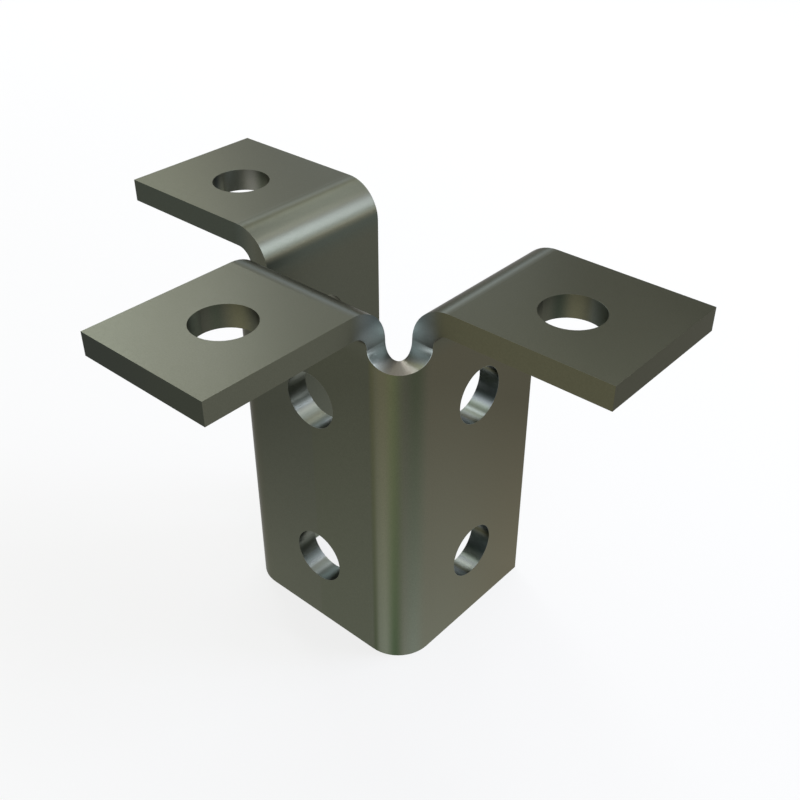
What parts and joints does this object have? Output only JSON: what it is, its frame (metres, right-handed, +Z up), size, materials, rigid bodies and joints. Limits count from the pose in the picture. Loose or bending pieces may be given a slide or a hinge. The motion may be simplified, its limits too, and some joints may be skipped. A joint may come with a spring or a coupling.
{
  "type": "wing-shaped strut fitting",
  "caption": "Folded plate fitting: a U-shaped channel takes the end of a strut, and wings folded outwards at its top bolt to crossing struts.",
  "frame": {"origin": "on the axis of the strut in the channel, at the fitting's bottom end, under the line of the flange holes", "axes": "+Z up the channel towards the wings, +X from flange to flange, -Y out through the web, so the channel is open towards +Y"},
  "size_m": [0.1402, 0.0899, 0.0984],
  "materials": {
    "plate": "satin dark steel with a faint olive cast and a fine mottled grain"
  },
  "bodies": {
    "root": {"wing_fitting": "plate"}
  },
  "joints": []
}
